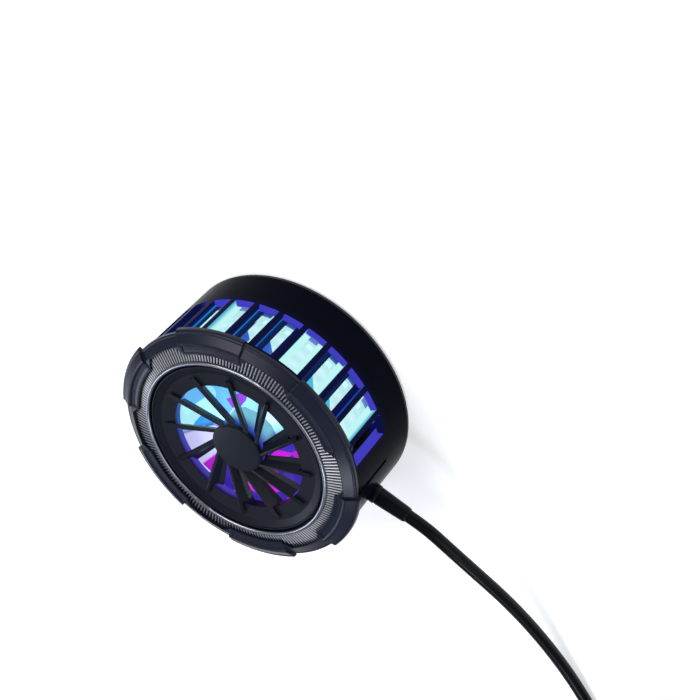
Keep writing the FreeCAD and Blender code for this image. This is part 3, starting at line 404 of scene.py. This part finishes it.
tie_weave = Finish("tie_strap")
mapping = tie_weave.node("Mapping", {"Vector": tie_weave.place,
                                     "Rotation": (0, 0, -math.radians(tie_angle))})
laid = Wire(tie_weave, mapping.outputs["Vector"])
warp = wave(tie_weave, tie_weave.axis("X", laid) + tie_weave.axis("Z", laid), warp_pitch)
weft = wave(tie_weave, tie_weave.axis("Y", laid), weft_pitch)
thread = warp * weft * 0.5 + 0.5
tie_weave.put(Base_Color=tie_weave.mix(thread, (0.006, 0.006, 0.007), (0.03, 0.03, 0.034)),
              Roughness=tie_weave.noise(9.0) * 0.1 + 0.8, Specular_IOR_Level=0.3,
              Normal=tie_weave.bump(thread, 0.12))


def strap_piece(name, low, high, width, open_sides):
    """A band of cloth without its thickness: a box, open on those sides, with round bends."""
    bpy.ops.object.select_all(action="DESELECT")
    bpy.ops.mesh.primitive_cube_add(size=1.0, location=(0, 0, 0))
    piece = bpy.context.object
    piece.name = name
    middle = (low + high) / 2
    piece.scale = ((high.x - low.x) * MM, width * MM, (high.z - low.z) * MM)
    piece.location = Vector((middle.x, 0, middle.z)) * MM
    bpy.ops.object.transform_apply(location=True, rotation=True, scale=True)
    bpy.ops.object.mode_set(mode="EDIT")
    bpy.ops.mesh.select_mode(type="FACE")
    bpy.ops.mesh.select_all(action="DESELECT")
    bpy.ops.object.mode_set(mode="OBJECT")
    for polygon in piece.data.polygons:
        polygon.select = any(polygon.normal.dot(side) > 0.9 for side in open_sides)
    bpy.ops.object.mode_set(mode="EDIT")
    bpy.ops.mesh.delete(type="FACE")
    bpy.ops.mesh.select_mode(type="EDGE")
    bpy.ops.mesh.select_all(action="DESELECT")
    bpy.ops.object.mode_set(mode="OBJECT")
    corners = piece.data.vertices
    sides = [key for polygon in piece.data.polygons for key in polygon.edge_keys]
    for edge in piece.data.edges:
        first, last = (corners[index].co for index in edge.vertices)
        bent = sides.count(edge.key) == 2
        edge.select = bent and abs(first.y - last.y) > 0.5 * width * MM
    bpy.ops.object.mode_set(mode="EDIT")
    bpy.ops.mesh.bevel(offset=strap_corner * MM, segments=8, affect="EDGES")
    bpy.ops.object.mode_set(mode="OBJECT")
    return piece


def finish_strap(piece, thickness):
    """Thickness towards the inside and soft edges, then the strap's place on the coil."""
    cloth = piece.modifiers.new("cloth", "SOLIDIFY")
    cloth.thickness = thickness * MM
    cloth.offset = -1.0
    cloth.use_even_offset = True
    bpy.ops.object.modifier_apply(modifier=cloth.name)
    hem = piece.modifiers.new("hem", "BEVEL")
    hem.width = 0.28 * thickness * MM
    hem.segments = 3
    hem.limit_method = "ANGLE"
    hem.angle_limit = math.radians(50)
    bpy.ops.object.modifier_apply(modifier=hem.name)
    piece.matrix_world = (Matrix.Translation(Vector((coil_centre.x, coil_centre.y, 0)) * MM)
                          @ Matrix.Rotation(math.radians(tie_angle), 4, "Z"))
    bpy.ops.object.transform_apply(location=True, rotation=True, scale=True)
    bpy.ops.object.shade_smooth_by_angle(angle=math.radians(40))
    piece.data.materials.append(tie_weave.material)
    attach(piece, "charger")


band_edges = [Vector((0, 1, 0)), Vector((0, -1, 0))]
strap = strap_piece("tie_band", Vector((tie_inner, 0, tie_bottom)),
                    Vector((tie_outer, 0, tie_top)), strap_width, band_edges)
finish_strap(strap, strap_thickness)
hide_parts("coil_tie")

free_end = strap_piece("tie_free_end", Vector((tie_inner + end_overlap, 0, tie_top - end_overlap)),
                       Vector((tie_outer + end_rise, 0, tie_top + end_rise)), end_width,
                       band_edges + [Vector((-1, 0, 0)), Vector((0, 0, -1))])
finish_strap(free_end, end_thickness)

route[0] * MM

# Drum housing. One glossy black moulding with a band of windows round it. The sides
# of its ribs and the sills of the windows are painted with the glow from behind them.

sill = 10.4
window_top = 22.1
window_pitch = 12.0
band_start = 28.0
band_end = 332.0
dark = (0.0, 0.0, 0.0)
ice = (0.52, 0.93, 0.90)
sky = (0.02, 0.28, 0.68)
violet = (0.052, 0.045, 0.52)
navy = (0.002, 0.004, 0.055)


def from_axis(finish):
    """Distance from the drum's axis in millimetres."""
    x, y = finish.axis("X"), finish.axis("Y")
    return (x * x + y * y) ** 0.5


def azimuth_of(finish):
    """Azimuth round the drum's axis, in degrees from 0 to 360."""
    angle = finish.maths("ARCTAN2", finish.axis("Y"), finish.axis("X"))
    return angle * (180 / math.pi) % 360.0


def window_place(azimuth, count):
    """Place in a group of that many windows, counted in windows from its start."""
    return (azimuth / window_pitch + 0.5) % count


def fully_lit(azimuth):
    """1 at the middle window of each three, which is lit from edge to edge."""
    place = window_place(azimuth, 3.0)
    return (place > 1.0) * (place < 2.0)


drum_black = moulded("drum_gloss_black", (0.003, 0.004, 0.008), 0.22, grain=5.0, depth=0.006,
                     gloss=0.007)
radius = from_axis(drum_black)
azimuth = azimuth_of(drum_black)
height = drum_black.axis("Z")
inside = (radius < 27.93) * (height > sill - 0.15) * (height < window_top + 0.1)
inside = inside * (azimuth > band_start) * (azimuth < band_end)
deep = drum_black.fade(radius, 27.95, 26.35)
first_window = azimuth < band_start + window_pitch
far_side = drum_black.ramp(deep, [(0.0, navy), (0.6, (0.003, 0.012, 0.17)), (0.8, sky),
                                  (1.0, navy)])
near_side = drum_black.ramp(deep, [(0.0, (0.01, 0.09, 0.46)), (0.55, (0.004, 0.02, 0.2)),
                                   (1.0, navy)])
near_side = drum_black.mix(window_place(azimuth, 3.0) < 1.0, near_side,
                           drum_black.mix(deep, (0.02, 0.2, 0.55), ice))
near_side = drum_black.mix(first_window, near_side, violet)
rib_side = drum_black.mix(window_place(azimuth, 1.0) < 0.5, far_side, near_side)
rib_side = drum_black.mix(fully_lit(azimuth), rib_side,
                          drum_black.mix(deep, (0.05, 0.4, 0.6), ice))
on_sill = drum_black.fade(height, sill + 0.5, sill + 0.1)
shine = drum_black.mix(on_sill, rib_side, drum_black.mix(first_window, violet, navy))
# Painted shade: the windows from about 140 to 200 degrees are dimmed to navy.
dim = drum_black.fade(azimuth, 136.0, 147.0) * drum_black.fade(azimuth, 205.0, 190.0)
shine = drum_black.mix(dim, shine, navy)
# Painted glow: a faint navy spill of light on the outer wall round the window band.
spill = drum_black.fade(height, sill - 2.5, sill + 2.0) * drum_black.fade(height, 23.2, 21.5)
spill = spill * drum_black.fade(azimuth, band_start, band_start + 8.0)
spill = spill * drum_black.fade(azimuth, band_end, band_end - 8.0)
outside = drum_black.mix(spill, dark, (0.002, 0.002, 0.028))
# All of the drum's emission is painted glow and painted shade; the drum is no lamp.
drum_black.put(Emission_Color=drum_black.mix(inside, outside, shine), Emission_Strength=1.0)
dress(drum_black, "drum_housing")

# Contact side. A matt silicone pad lies in a recess of the flat rear cover, which
# closes the drum.

pad_profile = [
    (0.03, 0.6), (0.03, 11.0), (0.0, 11.2), (0.0, 21.6), (0.08, 21.75), (0.08, 22.15),
    (0.0, 22.3), (0.0, 25.95), (0.05, 26.2), (0.16, 26.34), (0.3, 26.4), (0.6, 26.4),
]
pad_silicone = moulded("pad_silicone", (0.03, 0.03, 0.034), 0.7)
pad = turned_piece("pad_face", pad_profile, Vector((0, 0, 0)), Vector((0, 0, 1)), pad_silicone,
                   sides=128)
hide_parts("contact_pad")
cover_black = moulded("cover_black", (0.012, 0.012, 0.016), 0.5)
dress(cover_black, "rear_cover")

# Light ring. A clear moulding that stands on the light board and spreads the glow
# of the diodes over the windows. Each of its panels but every third has a dark slot
# and a cut corner.

corner_height = 21.0
corner_slope = 6.0

glow = Finish("light_ring_glow")
azimuth = azimuth_of(glow)
share = window_place(azimuth, 1.0)
bands = glow.node("TexWave", {"Vector": glow.place, "Scale": 95.0, "Distortion": 1.5},
                  bands_direction="Z")
streak = glow.noise(1.6, 4.0, 0.6) * 0.6 + Wire(glow, bands.outputs["Fac"]) * 0.4
clear = glow.mix(streak, (0.025, 0.04, 0.05), (0.05, 0.07, 0.08))
panel = glow.mix(streak, (0.38, 0.74, 0.78), (0.66, 0.90, 0.94))
corner = glow.fade(glow.axis("Z") + share * corner_slope, corner_height - 0.1,
                   corner_height + 0.1)
corner_blue = glow.mix(azimuth < 80.0, (0.015, 0.10, 0.50), (0.02, 0.45, 0.62))
slotted = glow.mix(glow.fade(share, 0.83, 0.86), glow.mix(corner, panel, corner_blue), navy)
glow.put(Base_Color=clear, Roughness=0.3, Specular_IOR_Level=0.2,
         Emission_Color=glow.mix(fully_lit(azimuth), slotted, panel), Emission_Strength=1.0)
dress(glow, "light_ring")

board_glow = Finish("light_board_glow")
outer_edge = board_glow.fade(from_axis(board_glow), 25.75, 25.95)
dusk = board_glow.mix(fully_lit(azimuth_of(board_glow)), (0.010, 0.045, 0.32),
                      (0.12, 0.19, 0.60))
solder_mask = board_glow.mix(board_glow.noise(3.0), (0.03, 0.03, 0.04), (0.06, 0.06, 0.08))
# Painted glow: the board is no lamp; its emission paints the light of the ring and diodes on it,
# pale at the outer edge.
board_glow.put(Base_Color=solder_mask, Roughness=0.4,
               Emission_Color=board_glow.mix(outer_edge, (0.50, 0.86, 0.88), dusk),
               Emission_Strength=0.85)
dress(board_glow, "light_board")

diode = moulded("diode_lens", (0.5, 0.8, 0.85), 0.3)
diode.put(Emission_Color=(0.5, 0.9, 0.9), Emission_Strength=0.8)
dress(diode, "light_diodes")

# Prism disc. A clear dish with cut facets behind the blades, which breaks the glow
# into flakes of colour.

facet_size = 5.5


def warm_half(finish, softness):
    """Rises from 0 in the glow's cold half to 1 in its warm half, towards 310 degrees."""
    towards = finish.axis("X") * 0.643 - finish.axis("Y") * 0.766
    return finish.fade(towards, -softness, softness)


facets = Finish("prism_flakes")
cells = facets.node("TexVoronoi", {"Vector": facets.place, "Scale": 1 / (facet_size * MM)})
parts = facets.node("SeparateColor", {0: Wire(facets, cells.outputs["Color"])})
pick = Wire(facets, parts.outputs[0])
cold = facets.ramp(pick, [(0.0, (0.42, 0.86, 0.87)), (0.28, (0.14, 0.47, 0.84)),
                          (0.44, (0.60, 0.80, 0.95)), (0.56, (0.05, 0.36, 0.80)),
                          (0.68, (0.26, 0.06, 0.62)), (0.78, (0.30, 0.74, 0.88))], "CONSTANT")
warm = facets.ramp(pick, [(0.0, (0.05, 0.025, 0.42)), (0.20, (0.52, 0.015, 0.63)),
                          (0.45, (0.015, 0.02, 0.28)), (0.60, (0.50, 0.015, 0.60)),
                          (0.80, (0.045, 0.022, 0.36))], "CONSTANT")
flakes = facets.mix(warm_half(facets, 1.2), cold, warm)
azimuth = azimuth_of(facets)
pale_sector = facets.fade(azimuth, 221.0, 223.0) * facets.fade(azimuth, 248.0, 246.0)
flakes = facets.mix(pale_sector, flakes, (0.60, 0.60, 0.90))
# The flakes are painted glow, given as emission: the disc is no lamp and only passes the light of
# the diodes.
facets.put(Base_Color=flakes, Emission_Color=flakes, Emission_Strength=0.8, Roughness=0.12)
dress(facets, "prism_disc")

# Fan shroud. A dished plate with the fan opening in its middle; its short inner lip
# stands in the glow.

lip_radius = 15.7

shroud_dark = moulded("shroud_dark", (0.0055, 0.007, 0.013), 0.4, grain=0.3, depth=0.003,
                      gloss=0.1)
azimuth = azimuth_of(shroud_dark)
lip = (from_axis(shroud_dark) < lip_radius) * shroud_dark.fade(shroud_dark.axis("Z"), 24.0, 22.6)
lip = lip * shroud_dark.fade(azimuth, 300.0, 275.0) * shroud_dark.fade(azimuth, 60.0, 130.0)
# Painted glow: the inner lip gets blue and violet emission; the shroud is no lamp.
painted_lip_glow = shroud_dark.mix(shroud_dark.fade(azimuth, 190.0, 240.0), (0.01, 0.07, 0.36),
                        shroud_dark.mix(shroud_dark.noise(4.0), (0.03, 0.045, 0.42),
                                        (0.09, 0.035, 0.40)))
shroud_dark.put(Emission_Color=shroud_dark.mix(lip, dark, painted_lip_glow), Emission_Strength=1.0)
dress(shroud_dark, "fan_shroud")

# Rim ring. A thin ring of polished metal, pressed into its seat round the dish of
# the shroud.

dress(metal("rim_bright", (0.24, 0.25, 0.29), 0.3), "rim_ring")

# Knurled ring. A gunmetal ring with two hundred radial teeth, which fall towards the
# drum's wall; its valleys are painted dark, as painted shade.

crest_start = 22.25
crest_height = 24.96
crest_fall = 0.2346

knurl = Finish("knurl_gunmetal")
crest = crest_height - (from_axis(knurl) - crest_start) * crest_fall
valley = knurl.fade(crest - knurl.axis("Z"), 0.02, 0.26)
gunmetal = knurl.mix(knurl.noise(2.0), (0.38, 0.385, 0.42), (0.52, 0.525, 0.57))
# Painted shade: the valleys between the teeth get a near-black colour in place of gunmetal.
knurl.put(Base_Color=knurl.mix(valley, gunmetal, (0.016, 0.018, 0.028)), Metallic=0.85,
          Roughness=valley * 0.1 + 0.45)
dress(knurl, "knurled_ring")

# Front bezel. An armoured ring moulded in satin black plastic, with six raised pads
# and six cut-outs over the knurled ring.

bezel_satin = moulded("bezel_satin", (0.006, 0.008, 0.020), 0.33, grain=0.2, depth=0.003,
                      gloss=0.2, edge=0.18)
dress(bezel_satin, "front_bezel")

# Fan. Twelve swept blades and their hub, one satin black moulding, under a plain cap.
# The wall of the hub is painted with a reflection of the glow below the blades.

hub_wall_inner = 5.6
hub_wall_outer = 6.05

fan_satin = moulded("fan_satin", (0.007, 0.0085, 0.014), 0.34, gloss=0.16)
radius = from_axis(fan_satin)
height = fan_satin.axis("Z")
hub_wall = (radius < hub_wall_outer) * (radius > hub_wall_inner)
hub_wall = hub_wall * fan_satin.fade(height, 23.7, 22.6)
# Painted reflection: the hub wall shows the glow's colours as emission, cyan low down, blue higher
# and violet in the warm half.
painted_hub_glow = fan_satin.mix(fan_satin.fade(height, 19.5, 23.0), (0.22, 0.62, 0.80), (0.02, 0.06, 0.42))
painted_hub_glow = fan_satin.mix(warm_half(fan_satin, 1.5), painted_hub_glow, (0.08, 0.025, 0.42))
fan_satin.put(Emission_Color=fan_satin.mix(hub_wall, dark, painted_hub_glow), Emission_Strength=0.8)
dress(fan_satin, "fan_rotor")
cap_dark = moulded("cap_dark", (0.008, 0.010, 0.017), 0.34, grain=0.5, gloss=0.12, edge=0.3)
dress(cap_dark, "hub_cap")

# Motor. A steel stator with copper windings round a bronze bearing sleeve, on a
# moulded base that screws hold and that carries a board of its own. The ground
# shaft and the ring magnet turn with the fan.

dress(cover_black, "motor_base")
steel = metal("ground_steel", (0.6, 0.6, 0.62), 0.3)
dress(steel, "fan_shaft", "motor_screws", "stator_core")
copper = metal("copper_wire", (0.8, 0.4, 0.2), 0.35)
dress(copper, "stator_windings")
dress(metal("bronze", (0.6, 0.42, 0.2), 0.4), "bearing_sleeve")
dress(moulded("magnet_ferrite", (0.06, 0.06, 0.065), 0.6), "rotor_magnet")
board_green = moulded("board_green", (0.02, 0.1, 0.05), 0.4)
dress(board_green, "motor_board")

# Cooling and charging stack. A milled aluminium heatsink, screwed down over a ceramic
# cooling module and its cold plate; under these the ferrite sheet, the wound coil in
# its carrier and the ring of magnets. The main board is wired to the lead.

dress(steel, "heatsink_screws")
dress(copper, "charging_coil")
dress(board_green, "main_board")
dress(metal("milled_aluminium", (0.7, 0.71, 0.73), 0.35), "heatsink", "cold_plate")
dress(metal("magnet_nickel", (0.62, 0.61, 0.6), 0.3), "magnet_ring")
dress(moulded("ferrite_dull", (0.05, 0.05, 0.055), 0.7), "ferrite_sheet")
dress(moulded("carrier_white", (0.65, 0.66, 0.65), 0.5), "coil_carrier")
dress(moulded("module_ceramic", (0.8, 0.8, 0.78), 0.5), "thermoelectric_module")
dress(moulded("foam_dark", (0.04, 0.04, 0.04), 0.95, grain=0.8, depth=0.04), "insulation_frame")
dress(moulded("pad_grey", (0.36, 0.38, 0.44), 0.6), "thermal_pad")
dress(moulded("component_black", (0.02, 0.02, 0.02), 0.45), "board_components")
dress(moulded("wire_red", (0.45, 0.03, 0.03), 0.45), "power_wires")

# Table and studio. A pale table that keeps the shadow and shows white to the camera
# and in reflections, under four soft lamps and an even grey surround.

table_size = 12.0
near_edge = 400.0
far_edge = 1500.0

bpy.ops.object.select_all(action="DESELECT")
bpy.ops.mesh.primitive_plane_add(size=table_size, location=(0, 0, 0))
floor = bpy.context.object
floor.name = "floor"
table = Finish("pale_table")
ray = table.node("LightPath").outputs
seen = Wire(table, ray["Is Camera Ray"]) + Wire(table, ray["Is Glossy Ray"])
seen = seen + Wire(table, ray["Is Transmission Ray"])
backdrop = table.mix(table.fade(from_axis(table), near_edge, far_edge), (0.42, 0.42, 0.42),
                     (0.78, 0.78, 0.78))
table.put(Base_Color=table.mix(table.noise(50.0), (0.78, 0.78, 0.78), (0.80, 0.80, 0.80)),
          Roughness=0.9, Specular_IOR_Level=0.1,
          Emission_Color=table.mix(seen, dark, backdrop), Emission_Strength=1.0)
floor.data.materials.append(table.material)

world = bpy.data.worlds.new("studio")
bpy.context.scene.world = world
world.use_nodes = True
surround = world.node_tree.nodes["Background"].inputs
surround["Color"].default_value = (0.46, 0.49, 0.56, 1.0)
surround["Strength"].default_value = 0.6


def lamp(name, place, size, power, colour=(1, 1, 1)):
    """A square soft lamp that points at the foot of the drum."""
    bpy.ops.object.light_add(type="AREA", location=place)
    made = bpy.context.object
    made.name = name
    made.data.size = size
    made.data.energy = power
    made.data.color = colour
    made.rotation_euler = (-Vector(place)).to_track_quat("-Z", "Y").to_euler()


cool_white = (0.8, 0.88, 1.0)
lamp("key", (-0.35, 0.25, 0.6), 0.4, 3.2)
lamp("fill", (0.5, 0.3, 0.45), 0.5, 1.5)
lamp("left", (-0.34, -0.5, 0.4), 0.25, 1.4, cool_white)
lamp("rim", (0.46, -0.31, 0.57), 0.15, 1.5, cool_white)

bpy.context.scene.view_settings.view_transform = "Standard"
